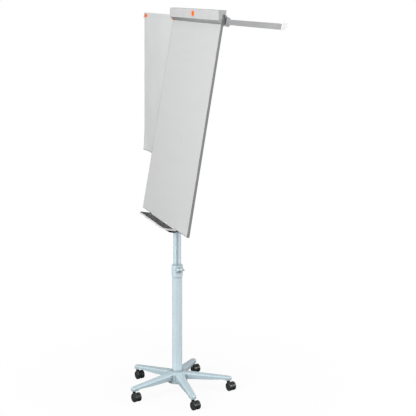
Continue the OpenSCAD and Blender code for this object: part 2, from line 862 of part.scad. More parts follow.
// Cover over the rail's right end: open slot in front, snout round the arm behind
module rail_end_right() {
    x0 = rail_half + 0.1;
    color(mid_grey) on_board() {
        along_x(x0, x0 + 8) difference() {
            polygon([
                [15.2, 978], [13.4, 980], [13.4, 1029], [15, 1030.6], [17.5, 1030.6], [24, 1021.4],
                [38.5, 1019.2], [40.5, 1017], [40.5, 980], [38.7, 978]
            ]);
            translate([18, 1001.4]) round_rect(6.4, 42, 1);
            arm_window(right_arm_y, slip_gap);
        }
        along_x(x0 + 8, x0 + 14) difference() {
            translate([right_arm_y + arm_t / 2, arm_z]) round_rect(10.4, 33, 2);
            arm_window(right_arm_y, slip_gap);
        }
    }
}

// Cover over the rail's left end, open at the front where the hung sheet passes
module rail_end_left() {
    x0 = rail_half + 0.1;
    color(mid_grey) on_board() along_x(-x0 - 6, -x0) difference() {
        translate([31.4, arm_z + 3.1]) round_rect(18.4, 35.2, 2);
        arm_window(left_arm_y, slip_gap);
        translate([-cut, 0]) arm_window(left_arm_y, slip_gap);
    }
}

// White end piece with a quarter-round fin that keeps a hung sheet from slipping off
module arm_end(y) {
    translate([0, y - 0.5, arm_z + 14]) along_x(0, 6) intersection() {
        rect([0, -32], [25, 3]);
        translate([-12, 2]) circle(37);
    }
}

module right_arm_end() {
    color("white") on_board() translate([arm_tip + 0.05, 0, 0]) arm_end(right_arm_y);
}

module left_arm_end() {
    color("white") on_board() mirror([1, 0, 0]) translate([arm_tip + 0.05, 0, 0]) arm_end(left_arm_y);
}

// ---- hung sheet ----

module sheet_pegs() {
    inset = 32;
    color(orange) on_board() for (x = [sheet_left + inset, sheet_left + sheet_w - inset])
        translate([x, peg_y, peg_z]) rotate([-90, 0, 0]) {
            cylinder(h = 1, r1 = peg_r - 1, r2 = peg_r);
            translate([0, 0, 1]) cylinder(h = crease_y - strip_t / 2 - peg_y - 1.05, r = peg_r);
        }
}

module binding_strip() {
    color(light_grey) on_board()
        translate([sheet_left, crease_y - strip_t / 2, crease_z + crease_gap])
            cube([sheet_w, strip_t, strip_h - crease_gap]);
}

// The sheet hangs plumb from the strip's lower edge, whatever the board's lean
module display_sheet() {
    top = board_z(crease_y, crease_z);
    color(light_grey)
        translate([sheet_left, board_y(crease_y, crease_z) - strip_t / 2, top - sheet_drop])
            cube([sheet_w, strip_t, sheet_drop]);
}

base_star();
hub_bolt();
castor_stems();
lower_tube();
tube_plug();
guide_bush();
clamp_collar();
clamp_screw();
castor_hood(1);  // castor_1_hood
castor_wheel(1, -1);  // castor_1_wheel_a
castor_wheel(1, 1);  // castor_1_wheel_b
castor_hood(2);  // castor_2_hood
castor_wheel(2, -1);  // castor_2_wheel_a
castor_wheel(2, 1);  // castor_2_wheel_b
castor_hood(3);  // castor_3_hood
castor_wheel(3, -1);  // castor_3_wheel_a
castor_wheel(3, 1);  // castor_3_wheel_b
castor_hood(4);  // castor_4_hood
castor_wheel(4, -1);  // castor_4_wheel_a
castor_wheel(4, 1);  // castor_4_wheel_b
castor_hood(5);  // castor_5_hood
castor_wheel(5, -1);  // castor_5_wheel_a
castor_wheel(5, 1);  // castor_5_wheel_b
upper_tube();
tube_glide();
tilt_head();
tilt_bolt();
tilt_knob();
friction_washers();
board_bracket();
bracket_screws();
writing_panel();
panel_core();
back_panel();
side_frames();
bottom_frame();
tray_bracket();
pen_tray();
tray_mat();
tray_screws();
header_rail();
clamp_flap();
end_caps();
hinge_pins();
flap_springs();
latch_button();
latch_spring();
pad_hook_left();
pad_hook_right();
arm_rail();
rail_screws();
rail_end_left();
rail_end_right();
left_arm();
right_arm();
left_arm_end();
right_arm_end();
sheet_pegs();
binding_strip();
display_sheet();
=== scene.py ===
"""Looks of a mobile flipchart easel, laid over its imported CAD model.

Metres, +Z up; the board faces -Y and +X is to the right of a person reading it.
"""

import json
import math

import bmesh
import bpy
from mathutils import Matrix, Vector


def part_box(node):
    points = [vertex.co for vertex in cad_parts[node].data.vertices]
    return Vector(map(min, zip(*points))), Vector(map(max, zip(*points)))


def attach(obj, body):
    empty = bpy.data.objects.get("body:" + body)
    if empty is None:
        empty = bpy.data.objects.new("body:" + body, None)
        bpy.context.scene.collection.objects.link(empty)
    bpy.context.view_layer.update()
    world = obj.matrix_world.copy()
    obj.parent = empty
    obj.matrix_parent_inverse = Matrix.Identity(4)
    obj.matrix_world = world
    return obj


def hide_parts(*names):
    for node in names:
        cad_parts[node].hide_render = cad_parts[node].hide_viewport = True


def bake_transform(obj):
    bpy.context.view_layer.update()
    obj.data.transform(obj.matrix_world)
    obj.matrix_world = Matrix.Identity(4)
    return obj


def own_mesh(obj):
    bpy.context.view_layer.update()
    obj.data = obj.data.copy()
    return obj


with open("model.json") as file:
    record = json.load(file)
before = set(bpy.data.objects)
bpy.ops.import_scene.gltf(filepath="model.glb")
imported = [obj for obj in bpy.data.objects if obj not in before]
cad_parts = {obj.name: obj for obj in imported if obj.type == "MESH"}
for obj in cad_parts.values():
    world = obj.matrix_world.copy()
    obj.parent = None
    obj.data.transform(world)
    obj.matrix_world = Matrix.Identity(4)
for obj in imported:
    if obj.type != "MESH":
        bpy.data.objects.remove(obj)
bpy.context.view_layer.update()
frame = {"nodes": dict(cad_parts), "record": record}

MM = 0.001

# The board's own directions, from the mount on its writing face
writing_face = frame["record"]["mounts"][0]
FRONT = Vector(writing_face["axis"])
RIGHT = Vector((1, 0, 0))
UPWARD = RIGHT.cross(-FRONT)

# Colours that set the look of the whole, in linear light; each material's own shades stand by it
PAINT_BLUE = (0.575, 0.705, 0.765, 1)
PAINT_PALE = (0.735, 0.875, 0.945, 1)
WHITE_LACQUER = (0.75, 0.76, 0.755, 1)
CLAMP_WHITE = (0.785, 0.795, 0.79, 1)
SHEET_WHITE = (0.9, 0.92, 0.91, 1)
TRAY_WHITE = (0.84, 0.845, 0.84, 1)
ORANGE = (1.0, 0.135, 0.0, 1)
BLACKENED = (0.02, 0.021, 0.022)
MOULDED_BLACK = (0.022, 0.024, 0.025)
MOULDED_BLUE = (0.6, 0.72, 0.78)
# Grey of the end caps: pale plastic like the header's, darkened as painted shade
SHADED_CAP_GREY = (0.47, 0.48, 0.49)
BRACKET_GREY = (0.055, 0.056, 0.06, 1)


# ---- materials ----


class Look:
    """A node material being built, with short calls for the patterns used below."""

    def __init__(self, name):
        self.material = bpy.data.materials.new(name)
        self.material.use_nodes = True
        self.tree = self.material.node_tree
        self.shader = self.tree.nodes["Principled BSDF"]
        self.place = self.add("ShaderNodeTexCoord").outputs["Object"]

    def add(self, kind, inputs=None, **settings):
        made = self.tree.nodes.new(kind)
        for key, value in settings.items():
            setattr(made, key, value)
        for key, value in (inputs or {}).items():
            self.feed(made.inputs[key], value)
        return made

    def feed(self, socket, value):
        if isinstance(value, bpy.types.NodeSocket):
            self.tree.links.new(value, socket)
        else:
            socket.default_value = value

    def surface(self, **inputs):
        """Sets inputs of the Principled shader, named with _ for spaces."""
        for key, value in inputs.items():
            self.feed(self.shader.inputs[key.replace("_", " ")], value)
        return self

    def noise(self, scale, detail=3, stretch=(1, 1, 1)):
        """Cloudy pattern from 0 to 1, finer along an axis whose stretch is above 1."""
        mapping = self.add("ShaderNodeMapping", {"Vector": self.place, "Scale": stretch})
        pattern = self.add(
            "ShaderNodeTexNoise",
            {"Vector": mapping.outputs[0], "Scale": scale, "Detail": detail},
        )
        return pattern.outputs[0]

    def cells(self, scale, output="Distance"):
        """Cell pattern, such as moulded grain or metal spangle."""
        return self.add("ShaderNodeTexVoronoi", {"Vector": self.place, "Scale": scale}).outputs[output]

    def remap(self, value, low, high, to_low=0.0, to_high=1.0):
        made = self.add(
            "ShaderNodeMapRange",
            {0: value, 1: low, 2: high, 3: to_low, 4: to_high},
            interpolation_type="SMOOTHSTEP",
        )
        return made.outputs[0]

    def math(self, operation, a, b):
        return self.add("ShaderNodeMath", {0: a, 1: b}, operation=operation).outputs[0]

    def mix(self, factor, a, b):
        """Colour a where factor is 0, colour b where it is 1."""
        made = self.add("ShaderNodeMix", data_type="RGBA")
        self.feed(made.inputs[0], factor)
        self.feed(made.inputs[6], a)
        self.feed(made.inputs[7], b)
        return made.outputs[2]

    def edges(self, reach):
        """1 on corners and edges, falling to 0 on the flats beyond reach."""
        rounded = self.add("ShaderNodeBevel", {"Radius": reach}, samples=4).outputs[0]
        true = self.add("ShaderNodeNewGeometry").outputs["Normal"]
        dot = self.add("ShaderNodeVectorMath", {0: rounded, 1: true}, operation="DOT_PRODUCT")
        return self.remap(dot.outputs["Value"], 0.995, 0.9)

    def facing(self, axis):
        """1 where a face looks straight along an axis, -1 where it looks the other way."""
        normal = self.add("ShaderNodeTexCoord").outputs["Normal"]
        return self.add("ShaderNodeSeparateXYZ", {0: normal}).outputs[axis]

    def corners(self, reach):
        """1 in the open, falling towards 0 in corners and crevices."""
        return self.add("ShaderNodeAmbientOcclusion", {"Distance": reach}, samples=8).outputs["AO"]

    def bump(self, *layers):
        """Feeds the shader's normal with layers of (height pattern, depth in metres)."""
        normal = None
        for height, depth in layers:
            made = self.add("ShaderNodeBump", {"Height": height, "Distance": depth})
            if normal is not None:
                self.feed(made.inputs["Normal"], normal)
            normal = made.outputs[0]
        self.feed(self.shader.inputs["Normal"], normal)
        return self


def shade(color, factor):
    """The colour, darker below 1 and lighter above it."""
    return (color[0] * factor, color[1] * factor, color[2] * factor, 1)


def paint(name, color, roughness, grain, underside_shading=0.55):
    """Satin paint: faint clouding, orange peel, convex edges lighter as painted highlight and partly
    rubbed paint, painted shade in corners, in grooves and on undersides.
    """
    look = Look(name)
    clouds = look.noise(7, detail=5)
    body = look.mix(look.remap(clouds, 0.3, 0.7), shade(color, 0.955), shade(color, 1.03))
    specks = look.remap(look.noise(900, detail=1), 0.66, 0.74)
    speckled = look.mix(look.math("MULTIPLY", specks, 0.2), body, shade(color, 0.75))
    # Lighter convex edges: painted highlight along the bevels, partly rubbed paint
    convex_edges = look.math("MULTIPLY", look.edges(3.5 * MM), look.remap(look.corners(12 * MM), 0.8, 1.0))
    paler_edges = look.math("MULTIPLY", convex_edges, look.remap(look.noise(40), 0.2, 0.55, 0.7, 1))
    edges_lightened = look.mix(look.math("MULTIPLY", paler_edges, 0.9), speckled, shade(color, 1.36))
    # Painted shade: darker in corners and where parts meet
    corner_shade = look.math("MULTIPLY", look.remap(look.corners(40 * MM), 0.9, 0.3), 0.4)
    corner_shaded = look.mix(corner_shade, edges_lightened, shade(color, 0.6))
    # Painted shade: darker inside narrow grooves and crevices, such as the tube's flutes and round the
    # mast's foot
    groove_shade = look.math("MULTIPLY", look.remap(look.corners(14 * MM), 0.99, 0.8), 0.8)
    lined = look.mix(groove_shade, corner_shaded, shade(color, 0.5))
    # Painted shade: darker on faces that look downwards, by the given factor
    underside_shade = look.remap(look.facing("Z"), -0.15, -0.6)
    shaded = look.mix(look.math("MULTIPLY", underside_shade, 0.65), lined, shade(color, underside_shading))
    look.surface(Base_Color=shaded, Coat_Weight=0.6, Coat_Roughness=0.1)
    look.surface(Roughness=look.remap(look.noise(30), 0.3, 0.7, roughness - 0.05, roughness + 0.07))
    return look.bump((look.noise(grain), 0.03 * MM), (look.noise(5 * grain, detail=1), 0.015 * MM))


def moulded(name, color, roughness, grain=1100):
    """Moulded plastic: fine cell grain, edges lighter in colour as painted highlight and glossier from
    handling, faint flow clouding.
    """
    look = Look(name)
    clouds = look.remap(look.noise(18, detail=4), 0.3, 0.7)
    body = look.mix(clouds, shade(color, 0.9), shade(color, 1.08))
    edge = look.edges(1.5 * MM)
    # Painted highlight: edges lighter in colour
    edge_highlit = look.mix(look.math("MULTIPLY", edge, 0.35), body, shade(color, 1.35))
    dull = look.remap(look.noise(140), 0.3, 0.7, roughness - 0.04, roughness + 0.08)
    look.surface(Base_Color=edge_highlit)
    look.surface(Roughness=look.math("SUBTRACT", dull, look.math("MULTIPLY", edge, 0.1)))
    return look.bump((look.cells(grain), 0.03 * MM), (look.noise(160), 0.03 * MM))


NYLON_BLACK = (0.023, 0.026, 0.027, 1)
NYLON_DUST = (0.08, 0.086, 0.086, 1)
NYLON_SCUFF = (0.1, 0.104, 0.104, 1)
# Edge colour of the wheels: painted highlight, partly scuffed nylon
NYLON_EDGE_HIGHLIGHT = (0.13, 0.14, 0.14, 1)


def wheel_nylon():
    """Black nylon wheel, hazed with floor dust and lightly scuffed; its edges lighter as painted
    highlight, partly scuffing.
    """
    look = Look("castor_tread")
    dust = look.remap(look.noise(120, detail=6), 0.45, 0.75)
    color = look.mix(look.math("MULTIPLY", dust, 0.5), NYLON_BLACK, NYLON_DUST)
    scuffs = look.remap(look.noise(300, stretch=(1, 1, 6)), 0.55, 0.7)
    scuffed = look.mix(look.math("MULTIPLY", scuffs, 0.3), color, NYLON_SCUFF)
    # Lighter edges: painted highlight on the wheel rims, partly scuffing
    edges_lightened = look.mix(look.math("MULTIPLY", look.edges(2 * MM), 0.6), scuffed, NYLON_EDGE_HIGHLIGHT)
    look.surface(Base_Color=edges_lightened, Roughness=look.remap(dust, 0, 1, 0.24, 0.42))
    return look.bump((look.noise(500), 0.03 * MM), (scuffs, 0.03 * MM))


ZINC_DULL = (0.45, 0.46, 0.48, 1)
ZINC_BRIGHT = (0.72, 0.72, 0.73, 1)
ZINC_EDGE = (0.8, 0.8, 0.8, 1)


def plated_steel():
    """Zinc-plated steel: turned streaks, dull patches, brighter edges."""
    look = Look("steel")
    streaks = look.noise(350, stretch=(1, 1, 0.06))
    color = look.mix(streaks, ZINC_DULL, ZINC_BRIGHT)
    bright = look.mix(look.edges(0.8 * MM), color, ZINC_EDGE)
    look.surface(Base_Color=bright, Metallic=1.0)
    look.surface(Roughness=look.remap(look.noise(90), 0.3, 0.7, 0.25, 0.45))
    return look.bump((streaks, 0.03 * MM))


ANODISED_DULL = (0.6, 0.605, 0.615, 1)
ANODISED_BRIGHT = (0.68, 0.685, 0.69, 1)
DIE_LINE = (0.8, 0.805, 0.81, 1)
ANODISED_EDGE = (0.86, 0.865, 0.87, 1)


def anodised():
    """Anodised extrusion: fine die lines along X, soft clouding, paler rubbed edges."""
    look = Look("aluminium")
    lines = look.noise(700, detail=2, stretch=(0.004, 1, 1))
    clouds = look.noise(9, detail=4, stretch=(0.3, 1, 1))
    base = look.mix(look.remap(clouds, 0.3, 0.7), ANODISED_DULL, ANODISED_BRIGHT)
    lined = look.mix(look.math("MULTIPLY", lines, 0.35), base, DIE_LINE)
    paler_edges = look.mix(look.math("MULTIPLY", look.edges(0.8 * MM), 0.5), lined, ANODISED_EDGE)
    look.surface(Base_Color=paler_edges, Metallic=0.6)
    look.surface(Roughness=look.remap(lines, 0.3, 0.7, 0.36, 0.48))
    return look.bump((lines, 0.03 * MM))


OLD_INK = (0.45, 0.46, 0.5, 1)


def lacquered_panel():
    """Writing surface: lacquered steel with wiping haze and faint left-over strokes."""
    look = Look("writing_surface")
    wiped = look.noise(5, detail=5, stretch=(0.35, 1, 2.4))
    haze = look.remap(wiped, 0.35, 0.7)
    base = look.mix(haze, WHITE_LACQUER, shade(WHITE_LACQUER, 0.965))
    strokes = look.remap(look.noise(26, detail=2, stretch=(1, 1, 0.4)), 0.68, 0.76)
    marked = look.mix(look.math("MULTIPLY", strokes, 0.10), base, OLD_INK)
    look.surface(Base_Color=marked, Coat_Weight=0.35)
    look.surface(Roughness=look.remap(haze, 0, 1, 0.42, 0.52), Coat_Roughness=0.3)
    return look.bump((look.noise(3, detail=1), 0.08 * MM), (look.noise(450), 0.01 * MM))


SPANGLE_DARK = (0.36, 0.37, 0.38, 1)
SPANGLE_LIGHT = (0.46, 0.47, 0.48, 1)
SPANGLE_FLAKE = (0.6, 0.61, 0.62, 1)


def galvanised():
    """Galvanised backing sheet: spangle of many greys, drawing lines up the board."""
    look = Look("back_sheet")
    spangle = look.cells(85, "Color")
    grey = look.mix(look.noise(12), SPANGLE_DARK, SPANGLE_LIGHT)
    flaked = look.mix(look.math("MULTIPLY", spangle, 0.3), grey, SPANGLE_FLAKE)
    look.surface(Base_Color=flaked, Metallic=0.6)
    look.surface(Roughness=look.remap(spangle, 0, 1, 0.38, 0.55))
    return look.bump((look.noise(260, stretch=(1, 1, 0.1)), 0.03 * MM))


EDGING_DARK = (0.24, 0.242, 0.246, 1)
EDGING_LIGHT = (0.31, 0.312, 0.318, 1)
EDGING_WORN = (0.42, 0.42, 0.43, 1)


def edging_plastic():
    """Dark grey edging of the board: extrusion streaks along its length, scuffed corners."""
    look = Look("frame_grey")
    streaks = look.noise(120, detail=3, stretch=(1, 1, 0.02))
    color = look.mix(streaks, EDGING_DARK, EDGING_LIGHT)
    scuffs = look.math("MULTIPLY", look.edges(1.2 * MM), look.remap(look.noise(45), 0.4, 0.65))
    edges_lightened = look.mix(look.math("MULTIPLY", scuffs, 0.45), color, EDGING_WORN)
    look.surface(Base_Color=edges_lightened, Roughness=look.remap(streaks, 0.3, 0.7, 0.4, 0.52))
    return look.bump((streaks, 0.04 * MM), (look.noise(900), 0.02 * MM))


RUBBER_DARK = (0.105, 0.107, 0.112, 1)
RUBBER_DUST = (0.17, 0.172, 0.175, 1)


def liner_rubber():
    """Ribbed rubber liner: matt, dusty between the ribs."""
    look = Look("tray_liner")
    dust = look.remap(look.noise(70, detail=6), 0.4, 0.75)
    color = look.mix(look.math("MULTIPLY", dust, 0.6), RUBBER_DARK, RUBBER_DUST)
    look.surface(Base_Color=color, Roughness=look.remap(dust, 0, 1, 0.6, 0.8))
    return look.bump((look.noise(650), 0.06 * MM))


FIBRE_DARK = (0.42, 0.3, 0.18, 1)
FIBRE_LIGHT = (0.62, 0.48, 0.32, 1)
FIBRE_FLECK = (0.25, 0.16, 0.09, 1)


def pressed_board():
    """Core of the board: pressed wood fibre."""
    look = Look("core_board")
    fibres = look.noise(160, detail=6, stretch=(0.4, 1, 0.4))
    flecks = look.remap(look.noise(420, stretch=(0.3, 1, 1)), 0.6, 0.7)
    color = look.mix(fibres, FIBRE_DARK, FIBRE_LIGHT)
    look.surface(Base_Color=look.mix(flecks, color, FIBRE_FLECK), Roughness=0.85)
    return look.bump((fibres, 0.15 * MM))


ORANGE_RIM = (1.0, 0.26, 0.06, 1)


def clear_orange():
    """Orange moulding: glossy, with a faint painted glow, paler worn rim."""
    look = Look("accent_orange")
    clouds = look.remap(look.noise(120, detail=3), 0.3, 0.7)
    body = look.mix(clouds, shade(ORANGE, 0.9), ORANGE)
    rim = look.math("MULTIPLY", look.edges(1.0 * MM), 0.3)
    look.surface(Base_Color=look.mix(rim, body, ORANGE_RIM), Specular_IOR_Level=0.08)
    # Painted glow: the moulding gives off a little light of its own colour
    look.surface(Emission_Color=ORANGE, Emission_Strength=0.4)
    look.surface(Roughness=look.remap(clouds, 0, 1, 0.3, 0.4))
    return look.bump((look.noise(900), 0.01 * MM))


END_SHADED = (0.84, 0.84, 0.84, 1)
END_BRIGHT = (0.92, 0.92, 0.92, 1)
# Painted shade on the end piece's faces that look towards the back
END_RIM_SHADE = (0.2, 0.2, 0.205, 1)


def end_moulding():
    """White end piece of an arm: soft white with a faint painted glow, greyed by painted shade on the
    faces that look towards the back.
    """
    look = Look("end_white")
    clouds = look.remap(look.noise(60, detail=4), 0.3, 0.7)
    white = look.mix(clouds, END_SHADED, END_BRIGHT)
    # Painted shade: faces that look towards the back turn grey
    rim = look.remap(look.facing("Y"), 0.15, 0.5)
    back_shaded = look.mix(rim, white, END_RIM_SHADE)
    look.surface(Base_Color=back_shaded, Roughness=look.remap(clouds, 0, 1, 0.28, 0.36))
    # Painted glow: the end piece gives off a little light of its own colour
    look.surface(Emission_Color=back_shaded, Emission_Strength=0.18)
    return look.bump((look.noise(700), 0.02 * MM))


def sheet_paper(name, color):
    """Smooth coated sheet: faint fibre clouding, soft handling waves, light through from behind."""
    look = Look(name)
    fibres = look.noise(260, detail=5)
    clouds = look.remap(look.noise(5, detail=3), 0.3, 0.7)
    body = look.mix(clouds, shade(color, 0.975), shade(color, 1.015))
    flecked = look.mix(look.math("MULTIPLY", fibres, 0.08), body, shade(color, 0.75))
    look.surface(Base_Color=flecked, Roughness=look.remap(fibres, 0.3, 0.7, 0.5, 0.62))
    look.bump((look.noise(6, detail=2), 0.8 * MM), (fibres, 0.02 * MM))
    through = look.add("ShaderNodeBsdfTranslucent", {"Color": shade(color, 1.1)})
    joined = look.add("ShaderNodeMixShader", {0: 0.12, 1: look.shader.outputs[0], 2: through.outputs[0]})
    look.feed(look.tree.nodes["Material Output"].inputs["Surface"], joined.outputs[0])
    return look


FINISHES = {
    "painted_cast": paint("painted_cast", PAINT_BLUE, 0.34, 260),
    "painted_tube": paint("painted_tube", PAINT_PALE, 0.30, 160),
    "pale_plastic": moulded("pale_plastic", MOULDED_BLUE, 0.4),
    "steel": plated_steel(),
    "black_steel": moulded("black_steel", BLACKENED, 0.35),
    "black_plastic": moulded("black_plastic", MOULDED_BLACK, 0.36),
    "castor_tread": wheel_nylon(),
    "writing_surface": lacquered_panel(),
    "core_board": pressed_board(),
    "back_sheet": galvanised(),
    "frame_grey": edging_plastic(),
    "tray_white": moulded("tray_white", TRAY_WHITE, 0.38),
    "tray_liner": liner_rubber(),
    "bracket_grey": paint("bracket_grey", BRACKET_GREY, 0.42, 420),
    # The header's white paint takes deeper painted shade on its undersides
    "clamp_white": paint("clamp_white", CLAMP_WHITE, 0.42, 420, underside_shading=0.3),
    # The end caps' grey is painted shade over pale plastic
    "cap_grey": moulded("cap_grey", SHADED_CAP_GREY, 0.4),
    "accent_orange": clear_orange(),
    "aluminium": anodised(),
    "end_white": end_moulding(),
    "sheet": sheet_paper("sheet", SHEET_WHITE),
}


# ---- CAD nodes: real rounded edges and finishes ----


# Edges flatter than this are shaded smooth
CREASE_ANGLE = math.radians(28)


def shading_group():
    """Geometry nodes that drop imported normals and shade smooth up to a crease angle."""
    group = bpy.data.node_groups.new("ShadeByAngle", "GeometryNodeTree")
    group.interface.new_socket("Geometry", in_out="INPUT", socket_type="NodeSocketGeometry")
    group.interface.new_socket("Geometry", in_out="OUTPUT", socket_type="NodeSocketGeometry")
    entry = group.nodes.new("NodeGroupInput")
    clear = group.nodes.new("GeometryNodeRemoveAttribute")
    clear.inputs["Name"].default_value = "custom_normal"
    faces = group.nodes.new("GeometryNodeSetShadeSmooth")
    edges = group.nodes.new("GeometryNodeSetShadeSmooth")
    edges.domain = "EDGE"
    angle = group.nodes.new("GeometryNodeInputMeshEdgeAngle")
    compare = group.nodes.new("FunctionNodeCompare")
    compare.operation = "LESS_EQUAL"
    compare.inputs[1].default_value = CREASE_ANGLE
    leave = group.nodes.new("NodeGroupOutput")
    group.links.new(entry.outputs[0], clear.inputs[0])
    group.links.new(clear.outputs[0], faces.inputs[0])
    group.links.new(faces.outputs[0], edges.inputs[0])
    group.links.new(angle.outputs[0], compare.inputs[0])
    group.links.new(compare.outputs[0], edges.inputs["Shade Smooth"])
    group.links.new(edges.outputs[0], leave.inputs[0])
    return group


SHADE_BY_ANGLE = shading_group()

# Edges sharper than this get a bevel; near-flat ones below the second angle are merged away
BEVEL_ANGLE = math.radians(32)
FLAT_ANGLE = math.radians(0.3)
WELD_DISTANCE = 0.002 * MM
BEVEL_SEGMENTS = 2

# Edge radius by node, in millimetres; a node that isn't listed takes USUAL_RADIUS
EDGE_RADII = {
    "base_star": 1.6, "lower_tube": 0.4, "upper_tube": 0.4, "clamp_collar": 1.2, "clamp_screw": 0.5,
    "tilt_head": 1.5, "tilt_knob": 1.6, "board_bracket": 1.0, "side_frames": 0.5, "bottom_frame": 0.4,
    "pen_tray": 0.6, "tray_mat": 0.3, "tray_bracket": 0.8, "clamp_flap": 0.5, "header_rail": 0.5,
    "end_caps": 0.8, "rail_end_left": 0.8, "rail_end_right": 0.8, "arm_rail": 0.3, "left_arm": 0.3,
    "right_arm": 0.3, "left_arm_end": 1.4, "right_arm_end": 1.4, "hub_bolt": 0.4, "writing_panel": 0.1,
}
USUAL_RADIUS = 0.4


def soften(piece):
    """Rounds a CAD node's edges with modifiers; its own mesh stays as it is."""
    weld = piece.modifiers.new("Weld", "WELD")
    weld.merge_threshold = WELD_DISTANCE
    planar = piece.modifiers.new("Planar", "DECIMATE")
    planar.decimate_type = "DISSOLVE"
    planar.angle_limit = FLAT_ANGLE
    bevel = piece.modifiers.new("Bevel", "BEVEL")
    bevel.limit_method = "ANGLE"
    bevel.angle_limit = BEVEL_ANGLE
    bevel.width = EDGE_RADII.get(piece.name, USUAL_RADIUS) * MM
    bevel.segments = BEVEL_SEGMENTS
    shading = piece.modifiers.new("Shading", "NODES")
    shading.node_group = SHADE_BY_ANGLE
    normals = piece.modifiers.new("Normals", "WEIGHTED_NORMAL")
    normals.keep_sharp = True


def dress_cad_nodes():
    """Gives every CAD node its finish and its rounded edges."""
    for part in frame["record"]["subparts"]:
        piece = frame["nodes"][part["node"]]
        for place in piece.material_slots:
            place.material = FINISHES[part["material_slot"]].material
        soften(piece)


# ---- new pieces ----


def board_place(point):
    """Matrix that puts a shape drawn in the board's directions (x right, y back, z up) at a point."""
    turn = Matrix((RIGHT, -FRONT, UPWARD)).transposed()
    return Matrix.Translation(point) @ turn.to_4x4()


def make_piece(name, shape, place, material, body):
    """Turns a bmesh into a smooth-shaded piece that rides on a body."""
    bmesh.ops.recalc_face_normals(shape, faces=shape.faces)
    mesh = bpy.data.meshes.new(name)
    shape.to_mesh(mesh)
    shape.free()
    mesh.transform(place)
    mesh.shade_smooth()
    piece = bpy.data.objects.new(name, mesh)
    bpy.context.scene.collection.objects.link(piece)
    mesh.materials.append(material)
    if body:
        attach(piece, body)
    return piece


def loft(shape, rings):
    """Closed skin over rings of equal point counts, capped at both ends."""
    made = [[shape.verts.new(point) for point in ring] for ring in rings]
    for low, high in zip(made, made[1:]):
        for i in range(len(low)):
            j = (i + 1) % len(low)
            shape.faces.new((low[i], low[j], high[j], high[i]))
    shape.faces.new(made[0])
    shape.faces.new(reversed(made[-1]))


def circle_ring(radius, y, count=48):
    steps = [2 * math.pi * k / count for k in range(count)]
    return [Vector((radius * math.cos(a), y, radius * math.sin(a))) for a in steps]


def rounded_ring(width, height, corner, y, steps=8):
    """Rectangle with round corners, at depth y."""
    ring = []
    centres = [(1, 1, 0), (-1, 1, 90), (-1, -1, 180), (1, -1, 270)]
    for side_x, side_z, start in centres:
        for k in range(steps + 1):
            a = math.radians(start + 90 * k / steps)
            x = side_x * (width / 2 - corner) + corner * math.cos(a)
            z = side_z * (height / 2 - corner) + corner * math.sin(a)
            ring.append(Vector((x, y, z)))
    return ring


PEG_RADIUS = 10 * MM
PEG_DEPTH = 6.35 * MM
# Radius in millimetres, and place along the depth from the back (-0.5) to the face (0.5)
PEG_PROFILE = [
    (2, -0.5), (8.6, -0.5), (9.7, -0.42), (10, -0.28), (10, -0.1), (9.5, -0.02), (9.5, 0.06),
    (10, 0.14), (10, 0.4), (9.8, 0.46), (9.3, 0.5), (8.2, 0.5), (7.4, 0.47), (6, 0.4), (3, 0.36),
    (1, 0.35),
]


def sheet_pegs():
    """Two turned pegs with a grooved rim and a dished face, holding the sheet on the arm."""
    low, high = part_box("sheet_pegs")
    for name, x in (("peg_left", low.x + PEG_RADIUS), ("peg_right", high.x - PEG_RADIUS)):
        shape = bmesh.new()
        loft(shape, [circle_ring(r * MM, -share * PEG_DEPTH) for r, share in PEG_PROFILE])
        place = board_place(Vector((x, (low.y + high.y) / 2, (low.z + high.z) / 2)))
        orange = FINISHES["accent_orange"].material
        piece = make_piece(name, shape, place, orange, "left_arm")
        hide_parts("sheet_pegs")


# How much wider the button's flange is than its body, in all
BUTTON_FLANGE = 5 * MM
# Growth over the body's size and corner radius in millimetres, and share of the depth from the face
BUTTON_STEPS = [
    (5, 5, 0.96), (5, 5, 0.72), (0, 4, 0.7), (0, 4, 0.12), (-0.5, 3.9, 0.05), (-1.4, 3.7, 0.0),
    (-3, 3.4, 0.01), (-5, 3.2, 0.07), (-8, 2.8, 0.16), (-12, 2.2, 0.23), (-16, 1.6, 0.27),
]


def clamp_button():
    """Push button of the pad clamp: flange, waisted body and a dished thumb face."""
    low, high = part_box("latch_button")
    deep = high.y - low.y
    middle = Vector(((low.x + high.x) / 2, low.y, (low.z + high.z) / 2))
    wide, tall = high.x - low.x - BUTTON_FLANGE, high.z - low.z - BUTTON_FLANGE
    shape = bmesh.new()
    rings = []
    for grow, corner, share in BUTTON_STEPS:
        size = (wide + grow * MM, tall + grow * MM)
        rings.append(rounded_ring(*size, corner * MM, share * deep))
    loft(shape, rings)
    place = Matrix.Translation(middle)
    orange = FINISHES["accent_orange"].material
    piece = make_piece("clamp_button", shape, place, orange, "latch_button")
    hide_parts("latch_button")


LEAF_STEPS = 24
LEAF_THICKNESS = 0.35 * MM
# Power of the bow: 2 would be a parabola, and below it the ends run straighter
LEAF_BOW = 1.5


def latch_leaf():
    """Bowed leaf spring behind the push button, riding on the clamp flap; the real spring flattens
    against the flap's bridge when pressed, this one keeps its bow.
    """
    low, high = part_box("latch_spring")
    shape = bmesh.new()
    rows = []
    for k in range(LEAF_STEPS + 1):
        share = 2 * k / LEAF_STEPS - 1
        y = low.y + (high.y - low.y - LEAF_THICKNESS) * abs(share) ** LEAF_BOW
        z = (low.z + high.z) / 2 + share * (high.z - low.z) / 2
        rows.append([shape.verts.new((x, y, z)) for x in (low.x, high.x)])
    for one, two in zip(rows, rows[1:]):
        shape.faces.new((one[0], one[1], two[1], two[0]))
    bmesh.ops.recalc_face_normals(shape, faces=shape.faces)
    bmesh.ops.solidify(shape, geom=shape.faces[:], thickness=LEAF_THICKNESS)
    steel = FINISHES["steel"].material
    piece = make_piece("latch_leaf", shape, Matrix.Identity(4), steel, "clamp_flap")
    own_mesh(piece)
    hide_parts("latch_spring")


